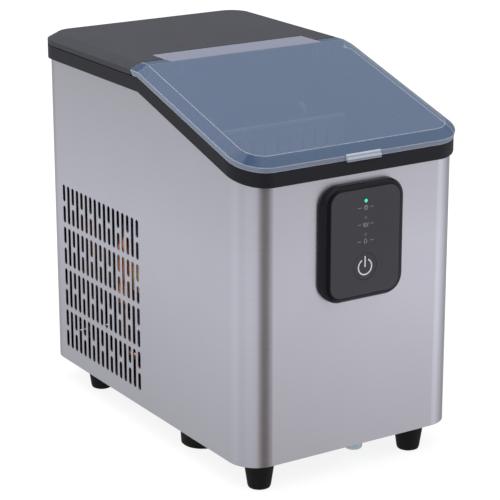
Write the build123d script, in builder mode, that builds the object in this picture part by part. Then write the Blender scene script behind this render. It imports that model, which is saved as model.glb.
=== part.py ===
"""Countertop ice maker: steel cabinet, clear sloping lid, bullet-ice works and refrigeration set.

Millimetres, +Z up, X to the right as the control panel is faced, +Y to the back.
The cabinet is drawn about its own middle and stored with the origin on the floor,
under the middle of the whole outline.
"""
from build123d import *
from math import atan, cos, degrees, radians, sin, tan
import os

# ---- cabinet outline ----
WIDTH = 220.0
DEPTH = 358.0
CORNER = 26.0
SHEET = 1.0
FOOT_HEIGHT = 20.0
FOOT_LENGTH = 23.0
REAR_HEIGHT = 295.0
FRONT_HEIGHT = 246.0
BREAK_Y = -9.0
PANEL_STAND = 8.5

FRONT_Y = -DEPTH / 2
BACK_Y = DEPTH / 2
SLOPE = (REAR_HEIGHT - FRONT_HEIGHT) / (BREAK_Y - FRONT_Y)
TILT = degrees(atan(SLOPE))

# ---- top trim, lid and cover ----
TRIM_PROUD = 3.0
TRIM_HEIGHT = 12.0
TRIM_PLATE = 3.0
TRIM_Z = FOOT_HEIGHT + REAR_HEIGHT
TRIM_TOP = TRIM_Z + TRIM_HEIGHT
CAP_GAP = 0.8
CAP_Z = TRIM_TOP + CAP_GAP
CAP_SKIRT = 4.6
CAP_RISE = 5.6
CAP_INSET = 10.0
CAP_WALL = 2.2
CAP_WIDTH = WIDTH + 2 * TRIM_PROUD
CAP_DEPTH = DEPTH + 2 * TRIM_PROUD
CAP_CORNER = CORNER + TRIM_PROUD
CAP_TOP = CAP_Z + CAP_SKIRT + CAP_RISE

HINGE_Y = -3.0
HINGE_Z = 333.5
HINGE_PIN = 1.5
HINGE_PLAY = 0.06
KNUCKLE = 2.2
LID_SWEEP = 5.95
COVER_FRONT = HINGE_Y + LID_SWEEP + 0.15
NOTCH_HALF = 79.5
NOTCH_BACK = 24.9
FLANGE_HALF = 79.0
FLANGE_BACK = 23.5
TROUGH_FLOOR = 304.5
TROUGH_WALL = 2.0
POST_LENGTH = 4.5
POST_GAP = 0.3
CHEEK = 2.5
TAB_X = 3.0
TAB_HALF = 17.2
TAB_DROP = 1.0
TAB_LIP = 2.6

# ---- ice compartment ----
TUB_LEFT = -91.0
TUB_RIGHT = 77.0
TUB_FRONT = -159.5
TUB_BACK = -14.5
TUB_WALL = 2.5
TUB_FLOOR = 62.5
TUB_CORNER = 10.0

TRAY_Y = -42.0
TRAY_Z = 246.0
TRAY_R = 26.0
TRAY_WALL = 2.0
TRAY_LEFT = -80.0
TRAY_RIGHT = 62.0
TRAY_HALF_ANGLE = 75.0
TRAY_PIN = 3.0
PIN_PLAY = 0.06

FINGERS = 9
FINGER_PITCH = 14.0
FINGER_R = 5.0
FINGER_LEFT = -65.0
EVAPORATOR_Z = 262.0

SHOVEL_Y = -71.0
SHOVEL_Z = 284.0
SHOVEL_DROP = 30.0
SHOVEL_PIN = 2.0
HOLDER_LEFT = -82.0
HOLDER_RIGHT = 65.0
HOLDER_Z = 274.0
PORT_Z = 290.0

BASKET_Z = 150.3
BASKET_HEIGHT = 71.0
BASKET_LEFT = -86.5
BASKET_RIGHT = 72.5
BASKET_FRONT = -157.0
BASKET_BACK = -77.0
BASKET_WALL = 2.0

FLOAT_X = 50.0
FLOAT_Y = -45.0

# ---- control panel ----
PANEL_X = 3.0
PANEL_Z = 206.6
PANEL_WIDTH = 82.5
PANEL_HEIGHT = 102.5
BUTTON_Z = 185.0
BUTTON_R = 11.7
LED_Z = (242.4, 227.8, 213.0)
LED_R = 1.4

# ---- side vents ----
VENT_COLUMNS = 17
VENT_BANDS = 4
VENT_FRONT_Y = 2.0
VENT_BACK_Y = 141.3
VENT_LOW = 35.2
VENT_HIGH = 196.7
VENT_WIDTH = 4.9
VENT_GAP = 4.2

# ---- feet and drain ----
FEET = [(-88.0, -164.5), (70.0, -164.5), (-88.0, 116.0), (70.0, 116.0)]
SIDE_FOOT = (-77.0, -53.0)
PAN_Z = 22.0
PAN_SHEET = 1.2
DRAIN = (12.0, -162.0)
DRAIN_BORE = 5.0

# ---- refrigeration set ----
COMPRESSOR = (-28.0, 118.0)
COMPRESSOR_R = 47.0
COMPRESSOR_TOP = 168.0
MOUNT_REACH = 46.0
GROMMET_HEIGHT = 10.0
FAN_Y = 85.0
FAN_Z = 112.0
FAN_R = 52.0
FAN_SHAFT = 2.0
CONDENSER_X = 80.0
CONDENSER_DEEP = 22.0
TUBE_R = 3.0
INLET = (48.0, 58.0)
REAR_GRILLE = (45.0, 200.0)

ORIGIN_SHIFT = (PANEL_STAND - TRIM_PROUD) / 2
ORIGIN_LIFT = FOOT_LENGTH - FOOT_HEIGHT


def save(part, name):
    """Place a finished piece about the stored origin and write it."""
    placed = part.moved(Location((0, ORIGIN_SHIFT, ORIGIN_LIFT)))
    placed.label = name
    export_step(placed, f"parts/{name}.step")


def profile_block(low, high, flat_floor=False):
    """Full-width block whose roof follows the cabinet's side line; heights are at the back."""
    drop = SLOPE * (BREAK_Y + DEPTH)
    floor_front = low if flat_floor else low - drop
    with BuildPart(mode=Mode.PRIVATE) as block:
        with BuildSketch(Plane.YZ):
            with BuildLine():
                Polyline(
                    (-DEPTH, floor_front), (BREAK_Y, low), (DEPTH, low),
                    (DEPTH, high), (BREAK_Y, high), (-DEPTH, high - drop), close=True,
                )
            make_face()
        extrude(amount=WIDTH, both=True)
    return block.part


def box_between(low, high):
    """Plain box from its lowest to its highest corner, for adding to or cutting from a piece."""
    size = [b - a for a, b in zip(low, high)]
    centre = [(a + b) / 2 for a, b in zip(low, high)]
    return Pos(*centre) * Box(*size, mode=Mode.PRIVATE)


def rod_x(x0, x1, y, z, radius):
    """Round bar along X."""
    bar = Cylinder(radius, x1 - x0, mode=Mode.PRIVATE)
    return Pos((x0 + x1) / 2, y, z) * Rot(0, 90, 0) * bar


def cap_half(plane, front, back, wall):
    """Straight skirt and chamfered crown on one plane, shrunk by a wall thickness."""
    width = CAP_WIDTH - 2 * wall
    length = back - front - 2 * wall
    middle = (front + back) / 2
    skirt = CAP_SKIRT - 0.55 * wall
    crown = CAP_SKIRT + CAP_RISE - wall
    inset = CAP_INSET * (crown - skirt) / CAP_RISE
    with BuildPart(mode=Mode.PRIVATE) as half:
        with BuildSketch(plane):
            with Locations((0, middle)):
                RectangleRounded(width, length, CAP_CORNER - wall)
        extrude(amount=skirt)
        with BuildSketch(plane.offset(skirt)):
            with Locations((0, middle)):
                RectangleRounded(width, length, CAP_CORNER - wall)
        with BuildSketch(plane.offset(crown)):
            with Locations((0, middle)):
                RectangleRounded(width - 2 * inset, length - 2 * inset, CAP_CORNER - wall - inset)
        loft(ruled=True)
    return half.part


def cap_solid(wall):
    """The closed shape of lid and rear cover together: flat at the back, sloping to the front."""
    half_tilt = radians(TILT / 2)
    fold = Plane(
        origin=(0, BREAK_Y, CAP_Z), x_dir=(1, 0, 0), z_dir=(0, cos(half_tilt), sin(half_tilt))
    )
    down = radians(TILT)
    ramp = Plane(origin=(0, BREAK_Y, CAP_Z), x_dir=(1, 0, 0), z_dir=(0, -sin(down), cos(down)))
    reach = (CAP_DEPTH / 2 + BREAK_Y) / cos(down)
    overlap = 4 * CAP_CORNER
    sloping = cap_half(ramp, -reach, overlap, wall)
    level = cap_half(Plane.XY.offset(CAP_Z), BREAK_Y - overlap, CAP_DEPTH / 2, wall)
    with BuildPart(mode=Mode.PRIVATE) as front:
        add(sloping)
        split(bisect_by=fold, keep=Keep.BOTTOM)
    with BuildPart(mode=Mode.PRIVATE) as both:
        add(level)
        split(bisect_by=fold, keep=Keep.TOP)
        add(front.part)
    return both.part


def footprint(shrink, low, high):
    """Upright prism on the cabinet's rounded outline."""
    with BuildPart(mode=Mode.PRIVATE) as prism:
        with BuildSketch(Plane.XY.offset(low)):
            RectangleRounded(WIDTH - 2 * shrink, DEPTH - 2 * shrink, CORNER - shrink)
        extrude(amount=high - low)
    return prism.part


def vent_slots():
    """Sketch positions of the side vents: long slots in even columns, pairs of short ones in odd."""
    pitch_y = (VENT_BACK_Y - VENT_FRONT_Y) / (VENT_COLUMNS - 1)
    pitch_z = (VENT_HIGH - VENT_LOW + VENT_GAP) / VENT_BANDS
    long_slot = pitch_z - VENT_GAP
    short_slot = (long_slot - VENT_GAP) / 2
    slots = []
    for column in range(VENT_COLUMNS):
        y = VENT_FRONT_Y + column * pitch_y
        for band in range(VENT_BANDS):
            low = VENT_LOW + band * pitch_z
            if column % 2:
                slots.append((y, low + long_slot / 2, long_slot))
            else:
                slots.append((y, low + short_slot / 2, short_slot))
                slots.append((y, low + long_slot - short_slot / 2, short_slot))
    return slots


# ---------------------------------------------------------------- cabinet
def make_steel_wrap():
    rear_half = 78.0
    window = (66.0, 82.0)
    line = profile_block(FOOT_HEIGHT, TRIM_Z + TRIM_HEIGHT / 2, flat_floor=True)
    outside = footprint(0, FOOT_HEIGHT, TRIM_TOP)
    inside = footprint(SHEET, FOOT_HEIGHT - 1, TRIM_TOP + 1)
    with BuildPart() as wrap:
        add(outside)
        add(inside, mode=Mode.SUBTRACT)
        add(line, mode=Mode.INTERSECT)
        with BuildSketch(Plane.XZ.offset(-DEPTH)):
            with Locations((0, TRIM_Z / 2 + FOOT_HEIGHT)):
                Rectangle(2 * rear_half, TRIM_TOP + FOOT_HEIGHT)
        extrude(amount=DEPTH / 2 + CORNER, mode=Mode.SUBTRACT)
        with BuildSketch(Plane.XZ):
            with Locations((PANEL_X, PANEL_Z)):
                RectangleRounded(*window, 8)
        extrude(amount=DEPTH, mode=Mode.SUBTRACT)
        with BuildSketch(Plane.YZ.offset(-WIDTH)):
            for y, z, length in vent_slots():
                with Locations((y, z)):
                    SlotOverall(length, VENT_WIDTH, rotation=90)
        extrude(amount=2 * WIDTH, mode=Mode.SUBTRACT)
        with Locations(*[Plane.XZ * Pos(x, z, -BACK_Y) for x, z in REAR_SCREWS]):
            Cylinder(1.7, 4 * SHEET, mode=Mode.SUBTRACT)
    save(wrap.part, "steel_wrap")


REAR_SCREWS = [(side * 80.2, z) for side in (-1, 1) for z in (44.0, 165.0, 286.0)]


def make_rear_panel():
    half = 82.5
    face = BACK_Y - SHEET
    with BuildPart() as panel:
        with BuildSketch(Plane.XZ.offset(-face)):
            with Locations((0, (PAN_Z + 13 + TRIM_Z + 4) / 2)):
                Rectangle(2 * half, TRIM_Z + 4 - PAN_Z - 13)
        extrude(amount=SHEET)
        with BuildSketch(Plane.XZ.offset(-BACK_Y)):
            with Locations(REAR_GRILLE):
                with GridLocations(36, 8, 2, 14):
                    SlotOverall(30, 3.6)
            with Locations(INLET):
                Rectangle(28, 20.5)
        extrude(amount=3 * SHEET, mode=Mode.SUBTRACT)
        with Locations(*[Plane.XZ * Pos(x, z, -face) for x, z in REAR_SCREWS]):
            Cylinder(1.7, 4 * SHEET, mode=Mode.SUBTRACT)
    save(panel.part, "rear_panel")


def make_rear_screws():
    with BuildPart() as screws:
        for x, z in REAR_SCREWS:
            with BuildSketch(Plane.XZ.offset(-BACK_Y)):
                with Locations((x, z)):
                    Circle(3.2)
            extrude(amount=-1.8)
            with BuildSketch(Plane.XZ.offset(-BACK_Y)):
                with Locations((x, z)):
                    Circle(1.6)
            extrude(amount=6)
    save(screws.part, "rear_screws")


def make_base_pan():
    clear = SHEET + 0.2
    outer = footprint(clear, PAN_Z, PAN_Z + 12)
    inner = footprint(clear + PAN_SHEET, PAN_Z + PAN_SHEET, PAN_Z + 13)
    with BuildPart() as pan:
        add(outer)
        add(inner, mode=Mode.SUBTRACT)
        with Locations(*[(x, y, PAN_Z) for x, y in FEET + [SIDE_FOOT] + compressor_corners()]):
            Cylinder(2.3, 6, mode=Mode.SUBTRACT)
        with Locations((*DRAIN, PAN_Z)):
            Cylinder(7.2, 6, mode=Mode.SUBTRACT)
        with BuildSketch(Plane.XY.offset(PAN_Z - 1)):
            with Locations((30, 20)):
                with GridLocations(12, 70, 6, 2):
                    SlotOverall(40, 4, rotation=90)
        extrude(amount=4, mode=Mode.SUBTRACT)
    save(pan.part, "base_pan")


def make_feet():
    low = FOOT_HEIGHT - FOOT_LENGTH
    with BuildPart() as foot:
        with BuildSketch(Plane.XZ):
            with BuildLine():
                Polyline(
                    (2.3, 12), (4.6, 12), (4.6, low), (7.4, low), (9.5, low + 1.0), (10.2, low + 2.8),
                    (13.2, FOOT_HEIGHT), (13.2, PAN_Z), (2.3, PAN_Z), close=True,
                )
            make_face()
        revolve(axis=Axis.Z)
    with BuildPart() as feet:
        with Locations(*[(x, y, 0) for x, y in FEET]):
            add(foot.part)
    save(feet.part, "feet")


def make_side_foot():
    low = FOOT_HEIGHT - FOOT_LENGTH
    with BuildPart() as foot:
        with BuildSketch(Plane.XZ):
            with BuildLine():
                Polyline(
                    (2.3, 12), (4.6, 12), (4.6, low), (18.2, low), (19.2, low + 0.9),
                    (20.4, FOOT_HEIGHT), (20.4, PAN_Z), (2.3, PAN_Z), close=True,
                )
            make_face()
        revolve(axis=Axis.Z)
    save(foot.part.moved(Location((*SIDE_FOOT, 0))), "side_foot")


def make_foot_screws():
    with BuildPart() as screws:
        with Locations(*[(x, y, 10.5) for x, y in FEET + [SIDE_FOOT]]):
            Cylinder(4.2, 3)
        with Locations(*[(x, y, 19) for x, y in FEET + [SIDE_FOOT]]):
            Cylinder(2.2, 15)
    save(screws.part, "foot_screws")


def make_top_trim():
    """Black frame round the top, with the trough that the lid's rear flange swings down into."""
    left, right = TUB_LEFT, TUB_RIGHT
    band = profile_block(TRIM_Z, TRIM_TOP)
    recess = profile_block(0, TRIM_TOP - TRIM_PLATE, flat_floor=True)
    rim = footprint(-TRIM_PROUD, FOOT_HEIGHT, CAP_Z)
    pocket = footprint(-0.2, FOOT_HEIGHT, CAP_Z)
    wall = TROUGH_WALL
    front = BREAK_Y - 0.4
    post_middle = NOTCH_HALF + POST_GAP + POST_LENGTH / 2
    with BuildPart() as hollow:
        add(pocket)
        add(recess, mode=Mode.INTERSECT)
    with BuildPart() as trim:
        add(rim)
        add(band, mode=Mode.INTERSECT)
        add(hollow.part, mode=Mode.SUBTRACT)
        with BuildSketch(Plane.XY.offset(FOOT_HEIGHT)):
            with Locations(((left + right) / 2, (TUB_FRONT + TUB_BACK) / 2)):
                RectangleRounded(right - left, TUB_BACK - TUB_FRONT, TUB_CORNER)
            with Locations((0, 92)):
                RectangleRounded(184, 130, 10)
        extrude(amount=TRIM_TOP, mode=Mode.SUBTRACT)
        add(box_between((-NOTCH_HALF - wall, front - wall, TROUGH_FLOOR - wall),
                        (NOTCH_HALF + wall, NOTCH_BACK + wall, TRIM_TOP)))
        add(box_between((-NOTCH_HALF, front, TROUGH_FLOOR),
                        (NOTCH_HALF, NOTCH_BACK, TRIM_TOP + 1)), mode=Mode.SUBTRACT)
        for side in (-1, 1):
            add(hinge_post(side))
        for side in (-1, 1):
            add(rod_x(side * post_middle - POST_LENGTH, side * post_middle + POST_LENGTH,
                      HINGE_Y, HINGE_Z, HINGE_PIN + HINGE_PLAY), mode=Mode.SUBTRACT)
    save(trim.part, "top_trim")


def hinge_post(side):
    """Post that carries one lid pin; it leans forward so the opened lid clears it."""
    inner = NOTCH_HALF + POST_GAP
    outer = inner + POST_LENGTH
    low = min(side * inner, side * outer)
    with BuildPart(mode=Mode.PRIVATE) as post:
        with BuildSketch(Plane.YZ.offset(low)):
            with Locations((HINGE_Y, HINGE_Z)):
                Circle(KNUCKLE)
            with BuildLine():
                Polyline(
                    (HINGE_Y - 6, TRIM_TOP - 0.5), (HINGE_Y - 1.5, TRIM_TOP - 0.5),
                    (HINGE_Y + 2.1, HINGE_Z - 0.6), (HINGE_Y - 1.8, HINGE_Z + 1.2), close=True,
                )
            make_face()
        extrude(amount=outer - inner)
    return post.part


def make_lid(outer, inner):
    """Clear lid: skirt, chamfered crown, rear flange, hinge knuckles and front finger tab."""
    reach = WIDTH
    keep = [
        box_between((-reach, -reach, 200), (reach, HINGE_Y, 400)),
        box_between((-FLANGE_HALF, HINGE_Y - 1, 200), (FLANGE_HALF, FLANGE_BACK, 400)),
        rod_x(-reach, reach, HINGE_Y, HINGE_Z, LID_SWEEP),
    ]
    front = -CAP_DEPTH / 2
    skirt_low = CAP_Z - SLOPE * (BREAK_Y - front)
    with BuildPart() as zone:
        for piece in keep:
            add(piece)
    with BuildPart() as lid:
        add(outer)
        add(inner, mode=Mode.SUBTRACT)
        add(zone.part, mode=Mode.INTERSECT)
        for side in (-1, 1):
            add(lid_knuckle(side))
        for side in (-1, 1):
            cheek_middle = side * (FLANGE_HALF - CHEEK / 2)
            add(rod_x(cheek_middle - CHEEK, cheek_middle + CHEEK, HINGE_Y, HINGE_Z, HINGE_PIN),
                mode=Mode.SUBTRACT)
        add(box_between((TAB_X - TAB_HALF, front - TAB_LIP, skirt_low - TAB_DROP),
                        (TAB_X + TAB_HALF, front - 0.3, skirt_low + TAB_LIP)))
        add(box_between((TAB_X - TAB_HALF, front - 1, skirt_low + 0.6),
                        (TAB_X + TAB_HALF, front + 1.2, skirt_low + TAB_LIP)))
        for side in (-1, 1):
            add(corner_rib(side))
    save(lid.part, "lid")


def lid_knuckle(side):
    """Cheek under the lid's flange that holds one hinge pin."""
    inner, outer = FLANGE_HALF - CHEEK, FLANGE_HALF
    low = min(side * inner, side * outer)
    with BuildPart(mode=Mode.PRIVATE) as cheek:
        with BuildSketch(Plane.YZ.offset(low)):
            with Locations((HINGE_Y, HINGE_Z)):
                Circle(KNUCKLE + 0.3)
            with Locations((HINGE_Y, HINGE_Z + 1.4)):
                Rectangle(5, 2.6)
        extrude(amount=outer - inner)
    return cheek.part


def corner_rib(side):
    """Small angle rib under the lid, in front of each hinge."""
    x = side * 68.0
    low = min(x, x + side * 2)
    far = min(x, x + side * 14)
    top = CAP_TOP - CAP_WALL + 0.2
    with BuildPart(mode=Mode.PRIVATE) as rib:
        add(box_between((low, -17.5, top - 9), (low + 2, BREAK_Y - 1, top - 2.0)))
        add(box_between((far, -17.5, top - 9), (far + 14, -16, top - 2.2)))
    return rib.part


def make_lid_pins():
    near = FLANGE_HALF - CHEEK + 0.3
    far = NOTCH_HALF + POST_GAP + POST_LENGTH - 0.3
    with BuildPart() as pins:
        for side in (-1, 1):
            low = min(side * near, side * far)
            add(rod_x(low, low + far - near, HINGE_Y, HINGE_Z, HINGE_PIN))
    save(pins.part, "lid_pins")


def make_top_cover(outer, inner):
    """Rear cover, notched at the front for the lid's flange."""
    reach = WIDTH
    rim = 2.0
    with BuildPart() as zone:
        add(box_between((-reach, COVER_FRONT, 200), (reach, reach, 400)))
        add(box_between((-NOTCH_HALF, -reach, 199), (NOTCH_HALF, NOTCH_BACK, 401)),
            mode=Mode.SUBTRACT)
    with BuildPart() as hollow:
        add(box_between((-reach, COVER_FRONT + rim, 200), (reach, reach, 400)))
        add(box_between((-NOTCH_HALF - rim, -reach, 199), (NOTCH_HALF + rim, NOTCH_BACK + rim, 401)),
            mode=Mode.SUBTRACT)
        add(inner, mode=Mode.INTERSECT)
    with BuildPart() as cover:
        add(outer)
        add(zone.part, mode=Mode.INTERSECT)
        add(hollow.part, mode=Mode.SUBTRACT)
    save(cover.part, "top_cover")


# ---------------------------------------------------------------- ice compartment
def make_tub():
    """Moulded liner: water reservoir below, basket ledges, pivot boss and pipe holes above."""
    roof = profile_block(0, TRIM_TOP - TRIM_PLATE - 0.2, flat_floor=True)
    mid_x = (TUB_LEFT + TUB_RIGHT) / 2
    mid_y = (TUB_FRONT + TUB_BACK) / 2
    wide = TUB_RIGHT - TUB_LEFT
    deep = TUB_BACK - TUB_FRONT
    low = TUB_FLOOR - TUB_WALL
    with BuildPart() as tub:
        with BuildSketch(Plane.XY.offset(low)):
            with Locations((mid_x, mid_y)):
                RectangleRounded(wide + 2 * TUB_WALL, deep + 2 * TUB_WALL, TUB_CORNER + TUB_WALL)
        extrude(amount=TRIM_TOP - low)
        with BuildSketch(Plane.XY.offset(TUB_FLOOR)):
            with Locations((mid_x, mid_y)):
                RectangleRounded(wide, deep, TUB_CORNER)
        extrude(amount=TRIM_TOP, mode=Mode.SUBTRACT)
        add(roof, mode=Mode.INTERSECT)
        add(box_between((TUB_LEFT - 1, -150, 143), (BASKET_LEFT + 3, -80, 150)))
        add(box_between((BASKET_RIGHT - 3, -150, 143), (TUB_RIGHT + 1, -80, 150)))
        add(rod_x(TUB_LEFT - 1, TRAY_LEFT - 1.5, TRAY_Y, TRAY_Z, 7))
        add(rod_x(TRAY_LEFT - 9, TRAY_LEFT, TRAY_Y, TRAY_Z, TRAY_PIN + PIN_PLAY), mode=Mode.SUBTRACT)
        add(rod_x(TUB_RIGHT - 1, TUB_RIGHT + 4, TRAY_Y, TRAY_Z, TRAY_PIN + PIN_PLAY),
            mode=Mode.SUBTRACT)
        with Locations((DRAIN[0], -140, low)):
            Cylinder(4, 10, mode=Mode.SUBTRACT)
        with Locations(*[Plane.XZ * Pos(x, z, -TUB_BACK) for x, z, _ in TUB_REAR_PORTS]):
            Cylinder(4.2, 10, mode=Mode.SUBTRACT)
    save(tub.part, "tub")


# Ports through the tub's rear wall: x, z and what passes.
TUB_REAR_PORTS = [
    (-72.0, PORT_Z, "water supply"), (-40.0, 75.0, "pump suction"),
    (-56.0, PORT_Z, "capillary"), (40.0, PORT_Z, "suction line"),
]


def make_tub_foam():
    """Insulation block between the tub and the cabinet, with pockets for motor, display and drain."""
    roof = profile_block(0, TRIM_TOP - TRIM_PLATE - 7, flat_floor=True)
    mid_x = (TUB_LEFT + TUB_RIGHT) / 2
    mid_y = (TUB_FRONT + TUB_BACK) / 2
    gap = TUB_WALL + 0.3
    with BuildPart() as foam:
        with BuildSketch(Plane.XY.offset(50)):
            with Locations((0, (FRONT_Y + 3 - 18) / 2)):
                RectangleRounded(WIDTH - 6, -18 - FRONT_Y - 3, CORNER - 4)
        extrude(amount=TRIM_TOP)
        with BuildSketch(Plane.XY.offset(TUB_FLOOR - gap)):
            with Locations((mid_x, mid_y)):
                RectangleRounded(TUB_RIGHT - TUB_LEFT + 2 * gap, TUB_BACK - TUB_FRONT + 2 * gap,
                                 TUB_CORNER + gap)
        extrude(amount=TRIM_TOP, mode=Mode.SUBTRACT)
        add(roof, mode=Mode.INTERSECT)
        add(box_between((TUB_RIGHT, -66, 214), (WIDTH / 2, 0, TRIM_TOP)), mode=Mode.SUBTRACT)
        add(box_between((-42, FRONT_Y, 145), (42, FRONT_Y + 12, 262)), mode=Mode.SUBTRACT)
        add(box_between((DRAIN[0] - 9, FRONT_Y, 40), (DRAIN[0] + 9, -130, 62)), mode=Mode.SUBTRACT)
    save(foam.part, "tub_foam")


def make_basket():
    """Lift-out ice basket with slotted walls and floor and two finger lugs."""
    mid_x = (BASKET_LEFT + BASKET_RIGHT) / 2
    mid_y = (BASKET_FRONT + BASKET_BACK) / 2
    wide = BASKET_RIGHT - BASKET_LEFT
    deep = BASKET_BACK - BASKET_FRONT
    top = BASKET_Z + BASKET_HEIGHT
    with BuildPart() as basket:
        with BuildSketch(Plane.XY.offset(BASKET_Z)):
            with Locations((mid_x, mid_y)):
                RectangleRounded(wide - 6, deep - 6, 8)
        extrude(amount=BASKET_HEIGHT)
        with BuildSketch(Plane.XY.offset(top - 3)):
            with Locations((mid_x, mid_y)):
                RectangleRounded(wide, deep, 10)
        extrude(amount=3)
        with BuildSketch(Plane.XY.offset(BASKET_Z + BASKET_WALL)):
            with Locations((mid_x, mid_y)):
                RectangleRounded(wide - 6 - 2 * BASKET_WALL, deep - 6 - 2 * BASKET_WALL, 6)
        extrude(amount=BASKET_HEIGHT, mode=Mode.SUBTRACT)
        with BuildSketch(Plane.XY.offset(BASKET_Z - 1)):
            with Locations((mid_x, mid_y)):
                with GridLocations(20, 30, 7, 2):
                    SlotOverall(24, 4, rotation=90)
        extrude(amount=4, mode=Mode.SUBTRACT)
        with BuildSketch(Plane.XZ.offset(-mid_y)):
            with Locations((mid_x, BASKET_Z + 30)):
                with GridLocations(20, 1, 7, 1):
                    SlotOverall(34, 4, rotation=90)
        extrude(amount=deep, both=True, mode=Mode.SUBTRACT)
        with BuildSketch(Plane.YZ.offset(mid_x)):
            with Locations((mid_y, BASKET_Z + 30)):
                with GridLocations(20, 1, 3, 1):
                    SlotOverall(34, 4, rotation=90)
        extrude(amount=wide, both=True, mode=Mode.SUBTRACT)
    save(basket.part, "ice_basket")


def make_water_tray():
    """Curved trough that holds the freezing water round the fingers; it tips about its own axis."""
    start = 270 - TRAY_HALF_ANGLE
    inner = TRAY_R - TRAY_WALL
    with BuildPart() as tray:
        with BuildSketch(Plane.YZ.offset(TRAY_LEFT)):
            with BuildLine():
                CenterArc((TRAY_Y, TRAY_Z), TRAY_R, start, 2 * TRAY_HALF_ANGLE)
                CenterArc((TRAY_Y, TRAY_Z), inner, start, 2 * TRAY_HALF_ANGLE)
                for angle in (radians(start), radians(start + 2 * TRAY_HALF_ANGLE)):
                    Line((TRAY_Y + inner * cos(angle), TRAY_Z + inner * sin(angle)),
                         (TRAY_Y + TRAY_R * cos(angle), TRAY_Z + TRAY_R * sin(angle)))
            make_face()
        extrude(amount=TRAY_RIGHT - TRAY_LEFT)
        for x in (TRAY_LEFT, TRAY_RIGHT - TRAY_WALL):
            with BuildSketch(Plane.YZ.offset(x)):
                with BuildLine():
                    CenterArc((TRAY_Y, TRAY_Z), TRAY_R - 0.5, 180, 180)
                    Line((TRAY_Y - TRAY_R + 0.5, TRAY_Z), (TRAY_Y + TRAY_R - 0.5, TRAY_Z))
                make_face()
                with Locations((TRAY_Y, TRAY_Z)):
                    Circle(6)
            extrude(amount=TRAY_WALL)
        add(rod_x(TRAY_LEFT - 7, TRAY_LEFT + 1, TRAY_Y, TRAY_Z, TRAY_PIN))
    save(tray.part, "water_tray")


def make_tray_shaft():
    with BuildPart() as shaft:
        add(rod_x(TRAY_RIGHT, TRAY_RIGHT + 28, TRAY_Y, TRAY_Z, TRAY_PIN))
        add(rod_x(TRAY_RIGHT, TRAY_RIGHT + 3, TRAY_Y, TRAY_Z, 5))
    save(shaft.part, "tray_shaft")


def make_tray_motor():
    """Geared motor beside the tub; the tray's shaft runs in its output bore."""
    left = TUB_RIGHT + TUB_WALL + 0.4
    with BuildPart() as motor:
        add(box_between((left, TRAY_Y - 22, TRAY_Z - 26), (left + 14, TRAY_Y + 16, TRAY_Z + 12)))
        fillet(motor.edges().filter_by(Axis.X), 5)
        add(rod_x(left + 13, left + 26, TRAY_Y - 4, TRAY_Z - 8, 14))
        add(rod_x(left - 1, left + 11.6, TRAY_Y, TRAY_Z, TRAY_PIN + PIN_PLAY), mode=Mode.SUBTRACT)
    save(motor.part, "tray_motor")


def make_evaporator():
    """Refrigerant pipe with the row of freezing fingers under it."""
    right = FINGER_LEFT + (FINGERS - 1) * FINGER_PITCH
    length = EVAPORATOR_Z - 233.0
    with BuildPart() as evaporator:
        add(rod_x(FINGER_LEFT - 6, right + 6, TRAY_Y, EVAPORATOR_Z, FINGER_R))
        with Locations(*[(FINGER_LEFT + i * FINGER_PITCH, TRAY_Y, EVAPORATOR_Z - length / 2)
                         for i in range(FINGERS)]):
            Cylinder(FINGER_R - 0.5, length)
        with Locations(*[(FINGER_LEFT + i * FINGER_PITCH, TRAY_Y, EVAPORATOR_Z - length)
                         for i in range(FINGERS)]):
            Sphere(FINGER_R - 0.5)
    save(evaporator.part, "evaporator")


def make_evaporator_holder():
    """White bridge over the evaporator; it also carries the shovel's pivots."""
    high = HOLDER_Z + 10
    with BuildPart() as holder:
        front = TRAY_Y - 13
        add(box_between((HOLDER_LEFT, front, HOLDER_Z), (HOLDER_RIGHT, TUB_BACK, high)))
        add(box_between((HOLDER_LEFT + 4, front + 3, HOLDER_Z + 3), (HOLDER_RIGHT - 4, -17, high + 1)),
            mode=Mode.SUBTRACT)
        for x in (HOLDER_LEFT, HOLDER_RIGHT - 3):
            add(box_between((x, SHOVEL_Y - 4.5, high - 6), (x + 3, front + 1, high + 4.5)))
            add(rod_x(x - 1, x + 4, SHOVEL_Y, SHOVEL_Z, SHOVEL_PIN + PIN_PLAY), mode=Mode.SUBTRACT)
        for x in (FINGER_LEFT - 7.5, FINGER_LEFT + (FINGERS - 1) * FINGER_PITCH + 4.5):
            add(box_between((x, TRAY_Y - 3.5, EVAPORATOR_Z + 4.4), (x + 3, TRAY_Y + 3.5, HOLDER_Z + 1)))
        add(rod_x(HOLDER_LEFT, HOLDER_RIGHT, TRAY_Y, EVAPORATOR_Z, FINGER_R), mode=Mode.SUBTRACT)
        with Locations((-72, -34, HOLDER_Z)):
            Cylinder(4.4, 12, mode=Mode.SUBTRACT)
        with Locations((40, TRAY_Y, HOLDER_Z), (-56, TRAY_Y, HOLDER_Z)):
            Cylinder(3.6, 12, mode=Mode.SUBTRACT)
    save(holder.part, "evaporator_holder")


def make_shovel():
    """Hinged blade that pushes the freed ice forward into the basket."""
    left, right = HOLDER_LEFT + 4, HOLDER_RIGHT - 4
    with BuildPart() as shovel:
        add(box_between((left, SHOVEL_Y - 1, SHOVEL_Z - SHOVEL_DROP), (right, SHOVEL_Y + 1, SHOVEL_Z)))
        add(rod_x(left, right, SHOVEL_Y, SHOVEL_Z, 3))
        add(rod_x(left - 3.5, right + 3.5, SHOVEL_Y, SHOVEL_Z, SHOVEL_PIN))
        with BuildSketch(Plane.XZ):
            with Locations(((left + right) / 2, SHOVEL_Z - 17)):
                with GridLocations(13, 1, 9, 1):
                    SlotOverall(16, 5, rotation=90)
        extrude(amount=100, mode=Mode.SUBTRACT)
    save(shovel.part, "ice_shovel")


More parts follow.
